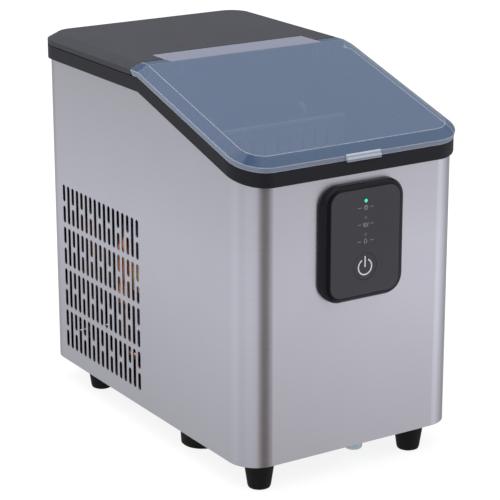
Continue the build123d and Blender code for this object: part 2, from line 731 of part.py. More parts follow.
def make_ice_sensors():
    """Pair of light-gate pods that watch the basket's fill level."""
    with BuildPart() as pods:
        add(box_between((TUB_LEFT, -112, 238), (TUB_LEFT + 2.4, -96, 252)))
        add(box_between((TUB_RIGHT - 2.4, -112, 238), (TUB_RIGHT, -96, 252)))
        add(rod_x(TUB_LEFT + 2, TUB_LEFT + 3.4, -104, 245, 2.5))
        add(rod_x(TUB_RIGHT - 3.4, TUB_RIGHT - 2, -104, 245, 2.5))
    save(pods.part, "ice_sensors")


def make_level_stem():
    with BuildPart() as stem:
        with Locations((FLOAT_X, FLOAT_Y, TUB_FLOOR + 20)):
            Cylinder(3, 40)
        with Locations((FLOAT_X, FLOAT_Y, TUB_FLOOR + 2)):
            Cylinder(7, 4)
        with Locations((FLOAT_X, FLOAT_Y, TUB_FLOOR + 40)):
            Cylinder(5, 2)
    save(stem.part, "level_stem")


def make_level_float():
    with BuildPart() as ring:
        with Locations((FLOAT_X, FLOAT_Y, TUB_FLOOR + 10.4)):
            Cylinder(10, 12)
            Cylinder(3.4, 12, mode=Mode.SUBTRACT)
    save(ring.part, "level_float")


# ---------------------------------------------------------------- control panel
def panel_outline(shrink_x, shrink_z, radius):
    return RectangleRounded(PANEL_WIDTH - 2 * shrink_x, PANEL_HEIGHT - 2 * shrink_z, radius)


def make_control_housing():
    """Raised black housing with rounded sides, a recess for the face and a hollow back."""
    stations = [(0.0, 0.0, 0.0, 17.5), (5.0, 0.3, 0.3, 17.2), (7.2, 2.2, 1.8, 15.0),
                (PANEL_STAND - 0.3, 5.4, 4.0, 12.0)]
    holes = panel_holes(0.25)
    with BuildPart() as housing:
        for near, far in zip(stations, stations[1:]):
            for stand, shrink_x, shrink_z, radius in (near, far):
                with BuildSketch(Plane.XZ.offset(-FRONT_Y + stand)):
                    with Locations((PANEL_X, PANEL_Z)):
                        panel_outline(shrink_x, shrink_z, radius)
            loft(ruled=True)
        with BuildSketch(Plane.XZ.offset(-FRONT_Y)):
            with Locations((PANEL_X, PANEL_Z)):
                panel_outline(4, 4, 15)
        extrude(amount=5, mode=Mode.SUBTRACT)
        with BuildSketch(Plane.XZ.offset(-FRONT_Y + PANEL_STAND - 1)):
            with Locations((PANEL_X, PANEL_Z)):
                panel_outline(6, 4.8, 11)
        extrude(amount=2, mode=Mode.SUBTRACT)
        add(holes, mode=Mode.SUBTRACT)
    save(housing.part, "control_housing")


def panel_holes(play):
    """Cutter for the button and lamp holes through the front of the panel."""
    with BuildPart(mode=Mode.PRIVATE) as holes:
        with BuildSketch(Plane.XZ.offset(-FRONT_Y)):
            with Locations((PANEL_X, BUTTON_Z)):
                Circle(BUTTON_R + 0.3)
            with Locations(*[(PANEL_X, z) for z in LED_Z]):
                Circle(LED_R + play)
        extrude(amount=20)
    return holes.part


def make_control_face():
    holes = panel_holes(0.05)
    with BuildPart() as face:
        with BuildSketch(Plane.XZ.offset(-FRONT_Y + PANEL_STAND - 1)):
            with Locations((PANEL_X, PANEL_Z)):
                panel_outline(6.15, 4.95, 10.9)
        extrude(amount=1)
        add(holes, mode=Mode.SUBTRACT)
    save(face.part, "control_face")


def make_power_button():
    with BuildPart() as button:
        with BuildSketch(Plane.XZ.offset(-FRONT_Y + 4.7)):
            with Locations((PANEL_X, BUTTON_Z)):
                Circle(BUTTON_R)
        extrude(amount=PANEL_STAND - 4.7 - 0.15)
        with BuildSketch(Plane.XZ.offset(-FRONT_Y + 3.9)):
            with Locations((PANEL_X, BUTTON_Z)):
                Circle(BUTTON_R + 1.4)
        extrude(amount=0.9)
    save(button.part, "power_button")


def make_display_board():
    with BuildPart() as board:
        with BuildSketch(Plane.XZ.offset(-FRONT_Y + 0.6)):
            with Locations((PANEL_X, PANEL_Z)):
                RectangleRounded(62, 84, 3)
        extrude(amount=1.2)
        add(box_between((PANEL_X - 3, FRONT_Y - 2.6, BUTTON_Z - 3),
                        (PANEL_X + 3, FRONT_Y - 1.8, BUTTON_Z + 3)))
    save(board.part, "display_board")


def make_status_lamps():
    with BuildPart() as lamps:
        with BuildSketch(Plane.XZ.offset(-FRONT_Y + 1.8)):
            with Locations(*[(PANEL_X, z) for z in LED_Z]):
                Circle(LED_R)
        extrude(amount=PANEL_STAND - 1.8)
    save(lamps.part, "status_lamps")


# ---------------------------------------------------------------- refrigeration set
def compressor_corners():
    x, y = COMPRESSOR
    return [(x + i * MOUNT_REACH, y + j * MOUNT_REACH) for i in (-1, 1) for j in (-1, 1)]


def make_compressor():
    """Welded steel pot on its mounting plate, with stub pipes."""
    x, y = COMPRESSOR
    plate = PAN_Z + PAN_SHEET + GROMMET_HEIGHT
    low = plate + 2.5
    with BuildPart() as pot:
        with Locations((x, y, (low + COMPRESSOR_TOP) / 2)):
            Cylinder(COMPRESSOR_R - 3, COMPRESSOR_TOP - low)
        fillet(pot.edges().group_by(Axis.Z)[-1], 22)
        fillet(pot.edges().group_by(Axis.Z)[0], 9)
        with Locations((x, y, low + 68)):
            Cylinder(COMPRESSOR_R, 9)
    with BuildPart() as compressor:
        add(pot.part)
        with BuildSketch(Plane.XY.offset(plate)):
            with Locations((x, y)):
                RectangleRounded(2 * MOUNT_REACH + 18, 2 * MOUNT_REACH + 18, 9)
        extrude(amount=2.6)
        with Locations(*[(cx, cy, plate) for cx, cy in compressor_corners()]):
            Cylinder(4.2, 12, mode=Mode.SUBTRACT)
    save(compressor.part, "compressor")


def make_grommets():
    plate = PAN_Z + PAN_SHEET
    with BuildPart() as grommets:
        with Locations(*[(cx, cy, plate + GROMMET_HEIGHT / 2) for cx, cy in compressor_corners()]):
            Cylinder(8, GROMMET_HEIGHT)
        with Locations(*[(cx, cy, plate + GROMMET_HEIGHT + 2) for cx, cy in compressor_corners()]):
            Cylinder(4.1, 4)
        with Locations(*[(cx, cy, plate + GROMMET_HEIGHT) for cx, cy in compressor_corners()]):
            Cylinder(2.4, 40, mode=Mode.SUBTRACT)
    save(grommets.part, "compressor_grommets")


def make_compressor_bolts():
    low = PAN_Z - 1.6
    high = PAN_Z + PAN_SHEET + GROMMET_HEIGHT + 4
    with BuildPart() as bolts:
        with Locations(*[(cx, cy, (low + high + 5) / 2) for cx, cy in compressor_corners()]):
            Cylinder(2.2, high + 5 - low)
        with Locations(*[(cx, cy, high + 2) for cx, cy in compressor_corners()]):
            Cylinder(4.6, 4)
    save(bolts.part, "compressor_bolts")


def make_terminal_cover():
    x, y = COMPRESSOR
    side = x + COMPRESSOR_R - 2.8
    with BuildPart() as cover:
        add(box_between((side, y - 20, 60), (side + 16, y + 20, 96)))
        fillet(cover.edges().filter_by(Axis.X), 5)
    save(cover.part, "terminal_cover")


def make_condenser():
    """Finned block with its serpentine pipe."""
    fins = 26
    low, high = 40.0, 186.0
    pitch = (high - low) / (fins - 1)
    front, back = FAN_Y - 60, FAN_Y + 60
    middle = CONDENSER_X + CONDENSER_DEEP / 2
    rows = [front + 12 + i * 19.2 for i in range(6)]
    with BuildPart() as condenser:
        with Locations(*[(middle, FAN_Y, low + i * pitch) for i in range(fins)]):
            Box(CONDENSER_DEEP, back - front, 1.0)
        with Locations(*[(middle, y, (low + high) / 2) for y in rows]):
            Cylinder(3.5, high - low + 6)
        for x in (CONDENSER_X, CONDENSER_X + CONDENSER_DEEP):
            for y in (front, back - 1):
                add(box_between((x - (x > middle), y, low - 2), (x + (x < middle), y + 1, high + 2)))
    save(condenser.part, "condenser")


def make_fan_shroud():
    x = CONDENSER_X - 3
    with BuildPart() as shroud:
        add(box_between((x, FAN_Y - 64, 34), (x + 2, FAN_Y + 64, 192)))
        add(rod_x(x - 16, x + 1, FAN_Y, FAN_Z, FAN_R + 5))
        add(rod_x(x - 17, x + 3, FAN_Y, FAN_Z, FAN_R + 3), mode=Mode.SUBTRACT)
        for angle in (0, 90, 180, 270):
            arm = Box(2, 39, 5, mode=Mode.PRIVATE)
            add(Pos(x - 15, FAN_Y, FAN_Z) * Rot(angle + 45, 0, 0) * Pos(0, 36.5, 0) * arm)
        add(rod_x(x - 16, x - 14, FAN_Y, FAN_Z, 20))
        add(rod_x(x - 17, x - 13, FAN_Y, FAN_Z, 3), mode=Mode.SUBTRACT)
    save(shroud.part, "fan_shroud")


def make_fan_motor():
    x = CONDENSER_X - 19
    with BuildPart() as motor:
        add(rod_x(x - 22, x, FAN_Y, FAN_Z, 18))
        fillet(motor.edges().filter_by(GeomType.CIRCLE), 2)
        add(rod_x(x - 1, x + 10, FAN_Y, FAN_Z, FAN_SHAFT))
    save(motor.part, "fan_motor")


def make_fan_blade():
    """Axial rotor: hub and swept blades."""
    x = CONDENSER_X - 9
    with BuildPart() as fan:
        add(rod_x(x - 6, x + 5, FAN_Y, FAN_Z, 14))
        for index in range(7):
            blade = Box(13, 38, 1.6, mode=Mode.PRIVATE)
            turn = Rot(index * 360 / 7, 0, 0) * Pos(-0.5, 32, 0) * Rot(0, 62, 0)
            add(Pos(x, FAN_Y, FAN_Z) * turn * blade)
        add(rod_x(x - 7, x + 4, FAN_Y, FAN_Z, FAN_SHAFT + PIN_PLAY), mode=Mode.SUBTRACT)
    save(fan.part, "fan_blade")


def tube(points, bend, radius, name):
    """Round pipe along straight runs joined by bends."""
    with BuildPart() as pipe:
        with BuildLine() as route:
            FilletPolyline(*points, radius=bend)
        with BuildSketch(Plane(origin=route.wire() @ 0, z_dir=route.wire() % 0)):
            Circle(radius)
        sweep()
    save(pipe.part, name)


def make_tubes():
    x, y = COMPRESSOR
    first_row = FAN_Y - 48
    second_row = first_row + 19.2
    tube([(x + 20, y - 18, COMPRESSOR_TOP), (x + 20, y - 18, 206), (91, y - 18, 206),
          (91, second_row, 206), (91, second_row, 189)], 9, TUBE_R, "discharge_tube")
    tube([(x - 20, y - 18, COMPRESSOR_TOP), (x - 20, y - 18, 222), (x - 20, 14, 222), (40, 14, 222),
          (40, 14, PORT_Z), (40, TRAY_Y, PORT_Z), (40, TRAY_Y, 267.0)], 9, TUBE_R, "suction_tube")
    tube([(-88, 62, 168), (-88, 62, 200), (-88, 20, 200), (-56, 8, 200), (-56, 8, PORT_Z),
          (-56, TRAY_Y, PORT_Z), (-56, TRAY_Y, 267)], 8, 1.4, "capillary_tube")
    tube([(-88, 62, 84), (-88, 62, 50), (-88, 48, 50), (60, 48, 50), (60, 48, 28), (91, 48, 28),
          (91, first_row, 28), (91, first_row, 36.9)], 3.6, TUBE_R - 0.6, "liquid_tube")
    tube([(-74, 44, 128), (-74, 96, 128), (-67.5, 96, 128)], 6, TUBE_R - 0.6, "hot_gas_tube")


def make_filter_drier():
    with BuildPart() as drier:
        with BuildSketch(Plane.XZ):
            with BuildLine():
                Polyline((0, 84), (2.6, 84), (2.6, 92), (9, 100), (9, 154), (2.6, 162),
                         (2.6, 168), (0, 168), close=True)
            make_face()
        revolve(axis=Axis.Z)
    save(drier.part.moved(Location((-88, 62, 0))), "filter_drier")


def make_gas_valve():
    """Solenoid valve of the hot-gas line."""
    with BuildPart() as valve:
        add(box_between((-96, 24, 118), (-72, 44, 150)))
        fillet(valve.edges(), 2.5)
        with Locations((-84, 34, 156)):
            Cylinder(6, 14)
        with Locations((-84, 34, 112)):
            Cylinder(5, 14)
    save(valve.part, "gas_valve")


def make_pump():
    with BuildPart() as pump:
        with Locations((-40, 22, PAN_Z + PAN_SHEET + 12)):
            Cylinder(17, 24)
        with Locations((-40, 22, PAN_Z + PAN_SHEET + 36)):
            Cylinder(13, 24)
        fillet(pump.edges().group_by(Axis.Z)[-1], 2)
    save(pump.part, "pump")


def make_hoses():
    tube([(-40, 9, 52), (-40, 0, 52), (-40, 0, 75), (-40, -20, 75)], 4.4, 4.0, "pump_inlet_hose")
    tube([(-57, 22, 34), (-72, 22, 34), (-72, 8, 60), (-72, 8, PORT_Z),
          (-72, -34, PORT_Z), (-72, -34, 270)], 8, 3.5, "supply_hose")
    tube([(DRAIN[0], -140, 60), (DRAIN[0], -140, 50), (*DRAIN, 50), (*DRAIN, 34)],
         5.5, 5.0, "drain_hose")


def make_drain_spout():
    with BuildPart() as spout:
        with Locations((*DRAIN, 25.5)):
            Cylinder(7, 17)
        with Locations((*DRAIN, 25.2)):
            Cylinder(11, 4)
        with Locations((*DRAIN, 24.5)):
            Cylinder(DRAIN_BORE, 19, mode=Mode.SUBTRACT)
    save(spout.part, "drain_spout")


def make_drain_plug():
    with BuildPart() as plug:
        with Locations((*DRAIN, 13)):
            Cylinder(7.8, 7)
        fillet(plug.edges().group_by(Axis.Z)[0], 2)
        with Locations((*DRAIN, 20)):
            Cylinder(DRAIN_BORE - 0.3, 8)
    save(plug.part, "drain_plug")


# ---------------------------------------------------------------- electrics
def make_control_box():
    with BuildPart() as box:
        add(box_between((-70, 44, 236), (40, 150, 276)))
        add(box_between((-67.5, 46.5, 238.5), (37.5, 147.5, 280)), mode=Mode.SUBTRACT)
    save(box.part, "control_box")


def make_main_board():
    with BuildPart() as board:
        add(box_between((-64, 50, 243), (34, 144, 244.6)))
        add(box_between((-50, 62, 244.6), (-20, 96, 268)))
        add(box_between((0, 70, 244.6), (14, 100, 260)))
        with Locations(*[(-8, 116, 252), (14, 124, 252), (-40, 122, 250)]):
            Cylinder(6, 15)
        for x in (-60, 26):
            for y in (54, 138):
                add(box_between((x, y, 238.5), (x + 4, y + 4, 243)))
    save(board.part, "main_board")


def make_board_bracket():
    """Folded shelf that carries the electronics box across the cabinet."""
    with BuildPart() as bracket:
        add(box_between((-108.6, 56, 232.5), (108.6, 140, 234)))
        for side in (-1, 1):
            low = min(side * 108.6, side * 107.1)
            add(box_between((low, 56, 218), (low + 1.5, 140, 234)))
        with BuildSketch(Plane.XY.offset(230)):
            with Locations((0, 98)):
                with GridLocations(40, 40, 4, 2):
                    Circle(9)
        extrude(amount=6, mode=Mode.SUBTRACT)
        add(box_between((-69, 60, 234), (39, 70, 236)))
        add(box_between((-69, 126, 234), (39, 136, 236)))
    save(bracket.part, "board_bracket")


def make_power_inlet():
    """Three-pin appliance inlet in the rear panel."""
    x, z = INLET
    face = BACK_Y - SHEET
    with BuildPart() as inlet:
        add(box_between((x - 15.5, face, z - 12), (x + 15.5, face + 2.2, z + 12)))
        add(box_between((x - 13.8, face - 16, z - 10), (x + 13.8, face + 0.5, z + 10)))
        add(box_between((x - 12, face - 14, z - 8), (x + 12, face + 3, z + 8)), mode=Mode.SUBTRACT)
    save(inlet.part, "power_inlet")


def make_inlet_pins():
    x, z = INLET
    with BuildPart() as pins:
        for dx, dz in ((-7, -2), (7, -2), (0, 3)):
            add(box_between((x + dx - 1, 164, z + dz - 2), (x + dx + 1, 175, z + dz + 2)))
    save(pins.part, "inlet_pins")


def main():
    os.makedirs("parts", exist_ok=True)
    outer = cap_solid(0)
    inner = cap_solid(CAP_WALL)
    make_lid(outer, inner)
    make_top_cover(outer, inner)
    make_lid_pins()
    make_steel_wrap()
    make_rear_panel()
    make_rear_screws()
    make_base_pan()
    make_feet()
    make_side_foot()
    make_foot_screws()
    make_top_trim()
    make_tub()
    make_tub_foam()
    make_basket()
    make_water_tray()
    make_tray_shaft()
    make_tray_motor()
    make_evaporator()
    make_evaporator_holder()
    make_shovel()
    make_ice_sensors()
    make_level_stem()
    make_level_float()
    make_control_housing()
    make_control_face()
    make_power_button()
    make_display_board()
    make_status_lamps()
    make_compressor()
    make_grommets()
    make_compressor_bolts()
    make_terminal_cover()
    make_condenser()
    make_fan_shroud()
    make_fan_motor()
    make_fan_blade()
    make_tubes()
    make_filter_drier()
    make_gas_valve()
    make_pump()
    make_hoses()
    make_drain_spout()
    make_drain_plug()
    make_control_box()
    make_main_board()
    make_board_bracket()
    make_power_inlet()
    make_inlet_pins()


main()
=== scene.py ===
"""Looks of the countertop ice maker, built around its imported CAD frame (metres, same axes)."""
import bpy
import math
from mathutils import Matrix, Vector


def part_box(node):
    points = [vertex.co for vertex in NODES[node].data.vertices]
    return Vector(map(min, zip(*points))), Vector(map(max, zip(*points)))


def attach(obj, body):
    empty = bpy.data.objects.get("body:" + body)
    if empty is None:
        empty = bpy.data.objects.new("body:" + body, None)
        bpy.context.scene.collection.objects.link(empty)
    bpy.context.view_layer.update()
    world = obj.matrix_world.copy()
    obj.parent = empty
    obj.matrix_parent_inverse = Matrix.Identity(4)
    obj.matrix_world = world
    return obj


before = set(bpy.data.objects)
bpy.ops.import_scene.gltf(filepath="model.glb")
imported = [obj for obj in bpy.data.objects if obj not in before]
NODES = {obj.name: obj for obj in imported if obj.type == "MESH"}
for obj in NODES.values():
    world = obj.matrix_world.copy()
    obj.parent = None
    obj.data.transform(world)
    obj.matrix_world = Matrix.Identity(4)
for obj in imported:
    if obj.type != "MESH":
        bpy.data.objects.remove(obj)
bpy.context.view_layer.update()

MM = 0.001
# Places of the Mix node's colour sockets: the two inputs and the output.
COLOUR_A, COLOUR_B, COLOUR_OUT = 6, 7, 2

# Stainless sheet
STEEL_DARK = (0.575, 0.575, 0.65)
STEEL_LIGHT = (0.615, 0.615, 0.69)
STEEL_SCRATCH = (0.7, 0.7, 0.76)
# Painted shade: a darker steel colour laid over the sheet near its bottom and towards its top.
STEEL_PAINTED_SHADE = (0.43, 0.425, 0.455)
PAINTED_SHADE_LOW_TOP = 0.16
PAINTED_SHADE_HIGH_START, PAINTED_SHADE_HIGH_END = 0.2, 0.33

# Clear lid: colours by zone, and where the zones lie
# The left bevel's darker colour is painted shade.
LID_LEFT_PAINTED_SHADE = (0.004, 0.045, 0.135)
LID_SKIRT = (0.18, 0.215, 0.29)
LID_FLANGE = (0.235, 0.25, 0.34)
LID_TAB = (0.42, 0.46, 0.53)
LID_INSIDE = (0, -90 * MM, 200 * MM)
INNER_TINT = 0.05
SKIRT_STEEP, SKIRT_LEVEL = 0.24, 0.45
SKIRT_CLOUD, FLANGE_CLOUD = 0.4, 0.7
LID_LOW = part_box("lid")[0]
TAB_LINE = LID_LOW[1] + 2.4 * MM
TAB_RISE = LID_LOW[2] + 1.7 * MM
TAB_X = 3 * MM
TAB_HALF = 17.4 * MM
FLANGE_START = -6.5 * MM
FLANGE_HALF = 79 * MM

FIN_RATE = 95
BOARD_RATE, SOLDER_RATE = 160, 420
LIT_ABOVE = 0.238


# ---------------------------------------------------------------- node helpers
def new_material(name):
    """Node material with a Principled shader; returns the material, its tree and the shader."""
    material = bpy.data.materials.new(name)
    material.use_nodes = True
    tree = material.node_tree
    shader = next(n for n in tree.nodes if n.type == "BSDF_PRINCIPLED")
    return material, tree, shader


def set_values(shader, **values):
    """Constant values straight on the shader's sockets; names use _ for a space."""
    for key, value in values.items():
        shader.inputs[key.replace("_", " ")].default_value = value


def coordinates(tree, scale=(1, 1, 1)):
    """Object coordinates in metres, scaled."""
    source = tree.nodes.new("ShaderNodeTexCoord")
    mapping = tree.nodes.new("ShaderNodeMapping")
    mapping.inputs["Scale"].default_value = scale
    tree.links.new(source.outputs["Object"], mapping.inputs["Vector"])
    return mapping.outputs["Vector"]


def noise(tree, vector, scale, detail=4.0, rough=0.5):
    node = tree.nodes.new("ShaderNodeTexNoise")
    node.inputs["Scale"].default_value = scale
    node.inputs["Detail"].default_value = detail
    node.inputs["Roughness"].default_value = rough
    tree.links.new(vector, node.inputs["Vector"])
    return node.outputs["Fac"]


def cells(tree, vector, scale, feature="F1"):
    """Voronoi distance, for speckle, crinkle and grain."""
    node = tree.nodes.new("ShaderNodeTexVoronoi")
    node.feature = feature
    node.inputs["Scale"].default_value = scale
    tree.links.new(vector, node.inputs["Vector"])
    return node.outputs["Distance"]


def spread(tree, value, low, high, start=0.3, end=0.7):
    """Maps a texture value to a range."""
    node = tree.nodes.new("ShaderNodeMapRange")
    node.inputs["From Min"].default_value = start
    node.inputs["From Max"].default_value = end
    node.inputs["To Min"].default_value = low
    node.inputs["To Max"].default_value = high
    tree.links.new(value, node.inputs["Value"])
    return node.outputs["Result"]


def shade(tree, value, dark, light):
    """Colour between two, driven by a 0..1 value; either colour may be a linked socket."""
    node = tree.nodes.new("ShaderNodeMix")
    node.data_type = "RGBA"
    for place, colour in ((COLOUR_A, dark), (COLOUR_B, light)):
        if isinstance(colour, (tuple, list)):
            node.inputs[place].default_value = (*colour, 1)
        else:
            tree.links.new(colour, node.inputs[place])
    tree.links.new(value, node.inputs[0])
    return node.outputs[COLOUR_OUT]


def combine(tree, operation, first, second):
    """One Math node; the second value may be a number or a socket."""
    node = tree.nodes.new("ShaderNodeMath")
    node.operation = operation
    for place, value in enumerate((first, second)):
        if isinstance(value, (int, float)):
            node.inputs[place].default_value = value
        else:
            tree.links.new(value, node.inputs[place])
    return node.outputs[0]


def soft_edge(tree, radius):
    """Normal rounded over the part's sharp edges."""
    node = tree.nodes.new("ShaderNodeBevel")
    node.samples = 4
    node.inputs["Radius"].default_value = radius
    return node.outputs["Normal"]


def edge_mask(tree, radius, start=0.995, end=0.86):
    """1 on sharp edges, 0 on open surface, for wear and the light that edges gather."""
    rounded = soft_edge(tree, radius)
    true = tree.nodes.new("ShaderNodeNewGeometry")
    dot = tree.nodes.new("ShaderNodeVectorMath")
    dot.operation = "DOT_PRODUCT"
    tree.links.new(rounded, dot.inputs[0])
    tree.links.new(true.outputs["Normal"], dot.inputs[1])
    return spread(tree, dot.outputs["Value"], 0, 1, start, end)


def bump(tree, value, shader, strength, distance, edge=0.0):
    node = tree.nodes.new("ShaderNodeBump")
    node.inputs["Strength"].default_value = strength
    node.inputs["Distance"].default_value = distance
    tree.links.new(value, node.inputs["Height"])
    if edge:
        tree.links.new(soft_edge(tree, edge), node.inputs["Normal"])
    tree.links.new(node.outputs["Normal"], shader.inputs["Normal"])


def moulded(name, colour, rough=0.45, grain=1400, vary=0.12, depth=0.03 * MM, edge=0.5 * MM,
            wear=1.0, **values):
    """Moulded plastic: faint shade drift, spark-eroded grain, edges rounded and a little paler."""
    material, tree, shader = new_material(name)
    vector = coordinates(tree)
    drift = noise(tree, vector, 18, 3)
    dark = [c * (1 - vary) for c in colour]
    light = [min(1, c * (1 + vary)) for c in colour]
    base = shade(tree, drift, dark, light)
    if wear > 1:
        scuffed = combine(tree, "MULTIPLY", edge_mask(tree, edge * 1.4), noise(tree, vector, 90, 3))
        base = shade(tree, scuffed, base, [min(1, c * wear) for c in colour])
    tree.links.new(base, shader.inputs["Base Color"])
    fine = noise(tree, vector, grain, 2)
    tree.links.new(spread(tree, fine, rough - 0.06, rough + 0.06), shader.inputs["Roughness"])
    bump(tree, fine, shader, 0.35, depth, edge)
    set_values(shader, **values)
    return material


def metal(name, colour, rough=0.3, brush=(1, 1, 1), scale=300, vary=0.08, depth=0.02 * MM,
          edge=0.3 * MM, **values):
    """Metal with streaks along the axis whose brush value is small."""
    material, tree, shader = new_material(name)
    vector = coordinates(tree, brush)
    streak = noise(tree, vector, scale, 5, 0.6)
    dark = [c * (1 - vary) for c in colour]
    light = [min(1, c * (1 + vary)) for c in colour]
    tree.links.new(shade(tree, streak, dark, light), shader.inputs["Base Color"])
    tree.links.new(spread(tree, streak, rough - 0.05, rough + 0.07), shader.inputs["Roughness"])
    bump(tree, streak, shader, 0.25, depth, edge)
    set_values(shader, Metallic=1.0, **values)
    return material


def brushed_sheet():
    """Stainless sheet brushed level round the cabinet, so that reflections stretch upright; painted
    shade darkens it near the bottom and towards the top.
    """
    material, tree, shader = new_material("brushed_stainless")
    vector = coordinates(tree, (0.02, 0.02, 1))
    lines = noise(tree, vector, 1100, 4, 0.65)
    clouds = noise(tree, coordinates(tree), 7, 3)
    tone = shade(tree, clouds, STEEL_DARK, STEEL_LIGHT)
    tone = shade(tree, spread(tree, lines, 0, 0.22), tone, STEEL_SCRATCH)
    height = tree.nodes.new("ShaderNodeSeparateXYZ")
    tree.links.new(coordinates(tree), height.inputs["Vector"])
    # Painted shade: darker towards the bottom edge and towards the top, where the sheet lies in
    # shade.
    low_painted_shade = spread(tree, height.outputs["Z"], 0.7, 0, 0.02, PAINTED_SHADE_LOW_TOP)
    high_painted_shade = spread(tree, height.outputs["Z"], 0, 0.75, PAINTED_SHADE_HIGH_START, PAINTED_SHADE_HIGH_END)
    tone = shade(tree, combine(tree, "ADD", low_painted_shade, high_painted_shade), tone, STEEL_PAINTED_SHADE)
    tree.links.new(tone, shader.inputs["Base Color"])
    grain = spread(tree, lines, 0.27, 0.35)
    smudge = spread(tree, noise(tree, coordinates(tree), 24, 5, 0.7), -0.02, 0.03)
    tree.links.new(combine(tree, "ADD", grain, smudge), shader.inputs["Roughness"])
    tangent = tree.nodes.new("ShaderNodeTangent")
    tangent.direction_type = "RADIAL"
    tangent.axis = "Z"
    tree.links.new(tangent.outputs["Tangent"], shader.inputs["Tangent"])
    bump(tree, lines, shader, 0.12, 0.01 * MM)
    set_values(shader, Metallic=1.0, Anisotropic=0.75, Anisotropic_Rotation=0.25)
    return material


def lid_zones(tree, body, solid):
    """Lid colour by zone, and how solid it looks: skirt, rear flange and tab are paler and
    cloudier, the left bevel is darker with painted shade."""
    place = tree.nodes.new("ShaderNodeSeparateXYZ")
    tree.links.new(coordinates(tree), place.inputs["Vector"])
    normal = tree.nodes.new("ShaderNodeNewGeometry").outputs["Normal"]
    facing = tree.nodes.new("ShaderNodeSeparateXYZ")
    tree.links.new(normal, facing.inputs["Vector"])
    x, y, z = (place.outputs[axis] for axis in "XYZ")

    levelness = combine(tree, "ABSOLUTE", facing.outputs["Z"], 0)
    skirt = spread(tree, levelness, 1, 0, SKIRT_STEEP, SKIRT_LEVEL)
    flange = combine(tree, "MULTIPLY",
                     spread(tree, y, 0, 1, FLANGE_START, FLANGE_START + 0.5 * MM),
                     spread(tree, combine(tree, "ABSOLUTE", x, 0), 1, 0,
                            FLANGE_HALF, FLANGE_HALF + 0.5 * MM))
    # Painted shade: faces turned to the left take a darker colour.
    left_painted_shade = combine(tree, "MULTIPLY", spread(tree, facing.outputs["X"], 0, 1, -0.2, -0.4),
                   combine(tree, "SUBTRACT", 1, skirt))
    aside = combine(tree, "ABSOLUTE", combine(tree, "SUBTRACT", x, TAB_X), 0)
    tab = combine(tree, "MULTIPLY",
                  spread(tree, y, 1, 0, TAB_LINE - 0.2 * MM, TAB_LINE),
                  spread(tree, aside, 1, 0, TAB_HALF, TAB_HALF + 0.2 * MM))
    tab = combine(tree, "MULTIPLY", tab, spread(tree, z, 0, 1, TAB_RISE, TAB_RISE + 0.3 * MM))

    for zone, colour in ((left_painted_shade, LID_LEFT_PAINTED_SHADE), (skirt, LID_SKIRT), (flange, LID_FLANGE),
                         (tab, LID_TAB)):
        body = shade(tree, zone, body, colour)
    cloudy = combine(tree, "MAXIMUM", combine(tree, "MULTIPLY", skirt, SKIRT_CLOUD),
                     combine(tree, "MULTIPLY", flange, FLANGE_CLOUD))
    return body, spread(tree, combine(tree, "MAXIMUM", cloudy, tab), solid, 1, 0, 1)


def outward(tree, centre):
    """1 where the surface faces away from a point inside the part, 0 on its inner walls."""
    source = tree.nodes.new("ShaderNodeTexCoord")
    away = tree.nodes.new("ShaderNodeVectorMath")
    away.operation = "SUBTRACT"
    away.inputs[1].default_value = centre
    tree.links.new(source.outputs["Object"], away.inputs[0])
    dot = tree.nodes.new("ShaderNodeVectorMath")
    dot.operation = "DOT_PRODUCT"
    tree.links.new(away.outputs["Vector"], dot.inputs[0])
    tree.links.new(source.outputs["Normal"], dot.inputs[1])
    behind = tree.nodes.new("ShaderNodeNewGeometry").outputs["Backfacing"]
    true_way = combine(tree, "MULTIPLY", dot.outputs["Value"], spread(tree, behind, 1, -1, 0, 1))
    return combine(tree, "GREATER_THAN", true_way, 0)


def tinted_clear(name, colour, solid, rough, edge_highlight_colour, edge=0.9 * MM, lid=False):
    """Smoky clear plastic: a thin tint that shows what lies behind, with a painted highlight along
    its edges.
    """
    material, tree, shader = new_material(name)
    vector = coordinates(tree)
    drift = noise(tree, vector, 9, 3)
    body = shade(tree, drift, [c * 0.95 for c in colour], [min(1, c * 1.04) for c in colour])
    # Painted highlight: the sharp edges take a pale colour and a denser tint.
    lit = edge_mask(tree, edge, 0.998, 0.97)
    if lid:
        body, solid = lid_zones(tree, body, solid)
    tree.links.new(shade(tree, lit, body, edge_highlight_colour), shader.inputs["Base Color"])
    tint = combine(tree, "MAXIMUM", spread(tree, lit, 0, 0.9, 0, 1), solid)
    if lid:
        outer = outward(tree, LID_INSIDE)
        tint = combine(tree, "MULTIPLY", tint, spread(tree, outer, INNER_TINT, 1, 0, 1))
    tree.links.new(tint, shader.inputs["Alpha"])
    ripple = noise(tree, vector, 14, 1)
    haze = spread(tree, noise(tree, vector, 40, 4), rough - 0.02, rough + 0.03)
    tree.links.new(haze, shader.inputs["Roughness"])
    bump(tree, ripple, shader, 0.1, 0.1 * MM, edge)
    set_values(shader, IOR=1.49)
    return material


def fin_stack():
    """Thin aluminium fins across a coil block, with painted shade as dark gaps between."""
    material, tree, shader = new_material("aluminium_fin")
    wave = tree.nodes.new("ShaderNodeTexWave")
    wave.wave_type = "BANDS"
    wave.bands_direction = "Y"
    wave.inputs["Scale"].default_value = FIN_RATE
    wave.inputs["Distortion"].default_value = 0.15
    tree.links.new(coordinates(tree), wave.inputs["Vector"])
    dent = noise(tree, coordinates(tree), 45, 4)
    pale = shade(tree, dent, (0.5, 0.51, 0.53), (0.78, 0.79, 0.81))
    # Painted shade: the dark bands between the fins stand for the shaded gaps.
    fins_and_painted_gap_shade = shade(tree, wave.outputs["Fac"], (0.05, 0.05, 0.055), pale)
    tree.links.new(fins_and_painted_gap_shade, shader.inputs["Base Color"])
    tree.links.new(spread(tree, dent, 0.3, 0.5), shader.inputs["Roughness"])
    bump(tree, wave.outputs["Fac"], shader, 0.6, 0.5 * MM)
    set_values(shader, Metallic=0.9)
    return material


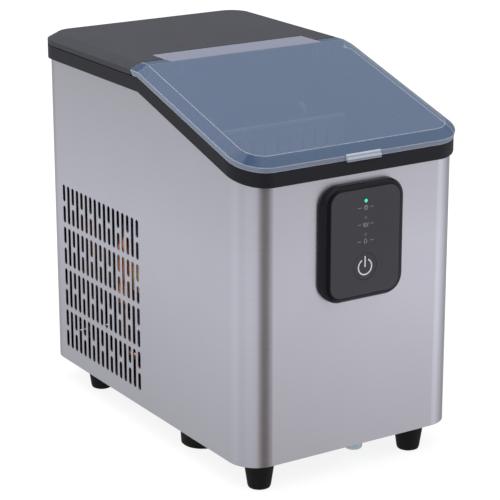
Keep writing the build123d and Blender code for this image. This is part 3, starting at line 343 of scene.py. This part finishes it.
def circuit_board():
    """Solder-masked board with paler tracks and solder dots."""
    material, tree, shader = new_material("board_green")
    vector = coordinates(tree)
    brick = tree.nodes.new("ShaderNodeTexBrick")
    brick.inputs["Scale"].default_value = BOARD_RATE
    brick.inputs["Mortar Size"].default_value = 0.035
    brick.inputs["Color1"].default_value = (0.01, 0.1, 0.045, 1)
    brick.inputs["Color2"].default_value = (0.012, 0.14, 0.06, 1)
    brick.inputs["Mortar"].default_value = (0.05, 0.26, 0.12, 1)
    tree.links.new(vector, brick.inputs["Vector"])
    dots = spread(tree, cells(tree, vector, SOLDER_RATE), 1, 0, 0.12, 0.2)
    dotted = shade(tree, dots, brick.outputs["Color"], (0.7, 0.7, 0.68))
    tree.links.new(dotted, shader.inputs["Base Color"])
    tree.links.new(spread(tree, noise(tree, vector, 60), 0.25, 0.4), shader.inputs["Roughness"])
    bump(tree, dots, shader, 0.5, 0.2 * MM)
    return material


def lamp_lens():
    """Lamp lenses: the upper one lit green, the two below dark."""
    material, tree, shader = new_material("lamp")
    split = tree.nodes.new("ShaderNodeSeparateXYZ")
    tree.links.new(coordinates(tree), split.inputs["Vector"])
    lit = spread(tree, split.outputs["Z"], 0, 1, LIT_ABOVE - MM, LIT_ABOVE + MM)
    speck = noise(tree, coordinates(tree), 2500, 2)
    dull = shade(tree, speck, (0.05, 0.055, 0.06), (0.09, 0.095, 0.1))
    tree.links.new(shade(tree, lit, dull, (0.02, 0.55, 0.3)), shader.inputs["Base Color"])
    tree.links.new(shade(tree, lit, (0, 0, 0), (0.01, 0.85, 0.35)), shader.inputs["Emission Color"])
    tree.links.new(spread(tree, speck, 0.15, 0.25), shader.inputs["Roughness"])
    set_values(shader, Emission_Strength=1.0)
    return material


def assign(material, *names):
    for name in names:
        node = NODES[name]
        node.data.materials.clear()
        node.data.materials.append(material)


# ---------------------------------------------------------------- materials
steel = brushed_sheet()
trim_black = moulded("trim_black", (0.012, 0.0125, 0.016), 0.45, wear=2.0,
                     Specular_IOR_Level=0.15)
cover_grey = moulded("cover_charcoal", (0.043, 0.044, 0.053), 0.6, wear=1.4, edge=0.7 * MM,
                     Specular_IOR_Level=0.15)
rubber = moulded("foot_rubber", (0.005, 0.005, 0.0055), 0.65, wear=2.5, Specular_IOR_Level=0.12)
panel_black = moulded("panel_black", (0.003, 0.0036, 0.006), 0.3, wear=2.2, edge=0.6 * MM,
                      Specular_IOR_Level=0.2)
face_black = moulded("face_black", (0.036, 0.036, 0.044), 0.4, grain=2200, wear=1.5,
                     edge=0.3 * MM, Specular_IOR_Level=0.3)
mark_white = moulded("mark_white", (0.62, 0.63, 0.66), 0.5, grain=3000, edge=0.05 * MM)
mark_grey = moulded("mark_grey", (0.3, 0.3, 0.33), 0.5, grain=3000, edge=0.05 * MM)
white = moulded("white_plastic", (0.72, 0.72, 0.72), 0.35, wear=1.1)
liner = moulded("liner_grey", (0.05, 0.054, 0.062), 0.4, wear=1.5)
works_grey = moulded("works_grey", (0.06, 0.063, 0.07), 0.4, wear=1.2)
foam = moulded("foam_white", (0.8, 0.8, 0.76), 0.8, grain=500, depth=0.3 * MM, edge=0)
pan_black = moulded("zinc_sheet", (0.03, 0.03, 0.033), 0.45, wear=2.0)
enamel = moulded("black_enamel", (0.008, 0.008, 0.009), 0.22, grain=500, wear=1.8)
fan_grey = moulded("fan_grey", (0.05, 0.05, 0.055), 0.5, wear=1.4)
board = circuit_board()
copper = metal("copper", (0.78, 0.36, 0.2), 0.28, scale=120, vary=0.22)
zinc = metal("zinc_screw", (0.6, 0.6, 0.62), 0.3)
nickel = metal("nickel", (0.7, 0.69, 0.66), 0.2)
brass = metal("brass_fit", (0.75, 0.55, 0.25), 0.3)
fins = fin_stack()
galvanised = metal("galvanised", (0.5, 0.51, 0.52), 0.4, scale=60, vary=0.2)
lid_clear = tinted_clear("lid_clear", (0.05, 0.098, 0.183), 0.82, 0.12, (0.55, 0.6, 0.68),
                         lid=True)
basket_clear = tinted_clear("basket_clear", (0.1, 0.115, 0.14), 0.4, 0.2, (0.7, 0.74, 0.8),
                            0.6 * MM)
silicone = tinted_clear("silicone_clear", (0.42, 0.54, 0.62), 0.8, 0.35, (0.6, 0.68, 0.74),
                        0.4 * MM)
lamp = lamp_lens()

assign(steel, "steel_wrap")
assign(trim_black, "top_trim", "terminal_cover", "pump", "power_inlet", "ice_sensors")
assign(cover_grey, "top_cover")
assign(rubber, "feet", "side_foot", "compressor_grommets")
assign(panel_black, "control_housing")
assign(face_black, "control_face", "power_button")
assign(white, "tray_shaft", "ice_shovel", "level_stem", "level_float", "drain_spout")
assign(works_grey, "water_tray", "tray_motor", "evaporator_holder")
assign(liner, "tub")
assign(basket_clear, "ice_basket")
assign(foam, "tub_foam")
assign(pan_black, "base_pan", "rear_panel")
assign(enamel, "compressor")
assign(fan_grey, "fan_blade", "fan_shroud", "control_box")
assign(board, "main_board", "display_board")
assign(copper, "discharge_tube", "suction_tube", "capillary_tube", "liquid_tube",
       "hot_gas_tube", "filter_drier")
assign(zinc, "foot_screws", "rear_screws", "compressor_bolts", "lid_pins")
assign(nickel, "evaporator")
assign(brass, "gas_valve", "inlet_pins")
assign(fins, "condenser")
assign(galvanised, "fan_motor", "board_bracket")
assign(lid_clear, "lid")
assign(silicone, "pump_inlet_hose", "supply_hose", "drain_hose", "drain_plug")
assign(lamp, "status_lamps")

# ---------------------------------------------------------------- printed marks on the panel
PRINT_PROUD = 0.12 * MM
PRINT_SUNK = 0.05 * MM


def ribbon(name, lines, front_y, width, material, body):
    """Flat printed strokes on a front face; lines are lists of (x, z) points in metres."""
    verts, faces = [], []
    for points in lines:
        closed = points[0] == points[-1]
        route = points[:-1] if closed else points
        count = len(route)
        start = len(verts)
        for i, (x, z) in enumerate(route):
            before = route[(i - 1) % count] if closed or i > 0 else route[i]
            after = route[(i + 1) % count] if closed or i < count - 1 else route[i]
            along = Vector((after[0] - before[0], after[1] - before[1])).normalized()
            into = Vector((x - before[0], z - before[1]))
            corner = 1.0
            if into.length > 1e-9:
                corner = max(0.6, abs(into.normalized().dot(along)))
            across = Vector((-along.y, along.x)) * (width / 2 / corner)
            for side in (1, -1):
                for depth in (-PRINT_PROUD, PRINT_SUNK):
                    verts.append((x + side * across.x, front_y + depth, z + side * across.y))
        steps = count if closed else count - 1
        for i in range(steps):
            a = start + 4 * i
            b = start + 4 * ((i + 1) % count)
            faces += [(a, b, b + 2, a + 2), (a, a + 1, b + 1, b), (a + 2, b + 2, b + 3, a + 3),
                      (a + 1, a + 3, b + 3, b + 1)]
        if not closed:
            last = start + 4 * (count - 1)
            faces += [(start, start + 2, start + 3, start + 1),
                      (last, last + 1, last + 3, last + 2)]
    mesh = bpy.data.meshes.new(name)
    mesh.from_pydata(verts, [], faces)
    mesh.validate()
    piece = bpy.data.objects.new(name, mesh)
    bpy.context.scene.collection.objects.link(piece)
    mesh.materials.append(material)
    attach(piece, body)
    return piece


def arc(x, z, radius, start, end, steps=40):
    """Points of an arc in the front plane; degrees from +X towards +Z."""
    angles = [math.radians(start + (end - start) * i / steps) for i in range(steps + 1)]
    points = [(x + radius * math.cos(a), z + radius * math.sin(a)) for a in angles]
    if end - start == 360:
        points[-1] = points[0]
    return points


def placed(x, z, size, *strokes):
    """Strokes drawn on a small unit grid, scaled and moved to a place on the panel."""
    return [[(x + size * u, z + size * v) for u, v in stroke] for stroke in strokes]


low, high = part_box("power_button")
BUTTON_X, BUTTON_Z = (low[0] + high[0]) / 2, (low[2] + high[2]) / 2
BUTTON_Y = low[1]
FACE_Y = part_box("control_face")[0][1]
low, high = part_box("status_lamps")
LAMP_X = (low[0] + high[0]) / 2
LAMP_RADIUS = 1.4 * MM
LAMP_TOP, LAMP_LOW = high[2] - LAMP_RADIUS, low[2] + LAMP_RADIUS
LABEL_DROP = 5.7 * MM
POWER_STROKE, MARK_STROKE = 1.15 * MM, 0.34 * MM

power_lines = [
    arc(BUTTON_X, BUTTON_Z - 0.5 * MM, 6.8 * MM, 118, 422),
    [(BUTTON_X, BUTTON_Z + 9.0 * MM), (BUTTON_X, BUTTON_Z - 0.6 * MM)],
]
ribbon("power_symbol", power_lines, BUTTON_Y, POWER_STROKE, mark_white, "power_button")

UNIT = 1.35 * MM
cube = ([(-1.2, -1), (0, -1.6), (1.2, -1), (1.2, 0.7), (0, 1.4), (-1.2, 0.7), (-1.2, -1)],
        [(-1.2, 0.7), (0, 0.1), (1.2, 0.7)], [(0, 0.1), (0, -1.6)])
bin_full = ([(-1.8, 1.0), (-1.4, -1.4), (1.4, -1.4), (1.8, 1.0)], [(-1.1, -0.4), (1.1, -0.4)],
            [(-1.3, 0.5), (1.3, 0.5)])
dashes = ([(-6, 0), (-3.4, 0)], [(3.4, 0), (6, 0)])
drop = ([(0, 1.7), (-0.9, 0.2), (-1.15, -0.5), (-0.8, -1.2), (0, -1.5), (0.8, -1.2), (1.15, -0.5),
         (0.9, 0.2), (0, 1.7)], [(-0.5, -0.5), (-0.25, -0.95)])
for name, place, strokes in (("mark_ice", 0, cube + dashes), ("mark_full", 1, bin_full + dashes),
                             ("mark_water", 2, drop + dashes)):
    level = LAMP_TOP + (LAMP_LOW - LAMP_TOP) * place / 2 - LABEL_DROP
    ribbon(name, placed(LAMP_X, level, UNIT, *strokes), FACE_Y, MARK_STROKE, mark_grey, "cabinet")

# ---------------------------------------------------------------- stage
FLOOR_SIDE = 200
FLOOR_GLOW = 0.87
bpy.ops.mesh.primitive_plane_add(size=FLOOR_SIDE, location=(0, 0, 0))
floor = bpy.context.object
floor.name = "floor"
floor_material = moulded("floor_white", (0.15, 0.15, 0.15), 0.9, vary=0.01, edge=0, grain=60,
                         Emission_Color=(1, 1, 1, 1), Emission_Strength=FLOOR_GLOW)
floor.data.materials.append(floor_material)
floor.visible_glossy = False


def studio_world():
    """Even white room, with one darker gap in front so that rounded metal shows an upright line."""
    world = bpy.data.worlds.new("world")
    bpy.context.scene.world = world
    world.use_nodes = True
    tree = world.node_tree
    source = tree.nodes.new("ShaderNodeTexCoord")
    split = tree.nodes.new("ShaderNodeSeparateXYZ")
    tree.links.new(source.outputs["Generated"], split.inputs["Vector"])
    back_x = combine(tree, "MULTIPLY", split.outputs["X"], -1)
    back_y = combine(tree, "MULTIPLY", split.outputs["Y"], -1)
    around = combine(tree, "ARCTAN2", back_x, back_y)
    around = combine(tree, "MULTIPLY_ADD", around, 0.5 / math.pi)
    around.node.inputs[2].default_value = 0.5
    ramp = tree.nodes.new("ShaderNodeValToRGB")
    ramp.color_ramp.interpolation = "EASE"
    stops = ramp.color_ramp.elements
    for index, (angle, level, warm) in enumerate(ROOM_LEVELS):
        place = angle / 360 + 0.5
        if index < 2:
            stop = stops[index]
            stop.position = place
        else:
            stop = stops.new(place)
        stop.color = (level, level * (1 - 0.12 * warm), level * (ROOM_BLUE - 0.18 * warm), 1)
    tree.links.new(around, ramp.inputs["Fac"])
    height = spread(tree, split.outputs["Z"], 0, 1, ROOM_TOP_START, ROOM_TOP_FULL)
    light = shade(tree, height, ramp.outputs["Color"], (ROOM_TOP, ROOM_TOP, ROOM_TOP * ROOM_BLUE))
    tree.links.new(light, tree.nodes["Background"].inputs["Color"])
    tree.nodes["Background"].inputs["Strength"].default_value = 1.0


# Degrees from the front (-Y) round towards the left (-X), with the brightness and warmth there.
ROOM_LEVELS = [(-180, 0.5, 0), (180, 0.5, 0), (-147, 0.34, 0), (-100, 0.48, 0), (-76, 0.78, 0),
               (-54, 1.08, 0), (-38, 0.87, 0), (-27, 0.6, 0.5), (-15, 0.24, 1), (5, 0.2, 1),
               (18, 0.42, 0.8), (30, 0.74, 0), (62, 0.76, 0), (88, 0.7, 0), (115, 0.8, 0),
               (147, 0.74, 0)]
ROOM_TOP = 1.5
ROOM_TOP_START, ROOM_TOP_FULL = 0.35, 0.75
ROOM_BLUE = 1.02
studio_world()
bpy.context.scene.view_settings.view_transform = "Standard"


def area_light(name, place, target, size, power):
    data = bpy.data.lights.new(name, "AREA")
    data.shape = "RECTANGLE"
    data.size, data.size_y = size
    data.energy = power
    light = bpy.data.objects.new(name, data)
    bpy.context.scene.collection.objects.link(light)
    light.location = place
    aim = Vector(target) - Vector(place)
    light.rotation_mode = "QUATERNION"
    light.rotation_quaternion = aim.to_track_quat("-Z", "Y")
    return light


KEY_PLACE, KEY_TARGET = (-0.5, 0.5, 2.0), (0, 0, 0.15)
KEY_SIZE = (1.2, 1.2)
KEY_WATTS = 8
area_light("key", KEY_PLACE, KEY_TARGET, KEY_SIZE, KEY_WATTS)

# ---------------------------------------------------------------- camera
YAW, PITCH, ROLL = (math.radians(a) for a in (32.51, -17.32, -0.06))
CAMERA_PLACE = (-0.9435, -1.4899, 0.7043)
FOCAL_PIXELS = 2010
IMAGE_SIDE = 500
SENSOR = 36
forward = Vector((math.sin(YAW) * math.cos(PITCH), math.cos(YAW) * math.cos(PITCH),
                  math.sin(PITCH)))
right = forward.cross(Vector((0, 0, 1))).normalized()
up = right.cross(forward)
right_rolled = math.cos(ROLL) * right + math.sin(ROLL) * up
up_rolled = -math.sin(ROLL) * right + math.cos(ROLL) * up
camera_data = bpy.data.cameras.new("camera")
camera = bpy.data.objects.new("camera", camera_data)
bpy.context.scene.collection.objects.link(camera)
turn = Matrix((right_rolled, up_rolled, -forward)).transposed().to_4x4()
camera.matrix_world = Matrix.Translation(CAMERA_PLACE) @ turn
camera_data.sensor_width = SENSOR
camera_data.lens = SENSOR * FOCAL_PIXELS / IMAGE_SIDE
bpy.context.scene.camera = camera
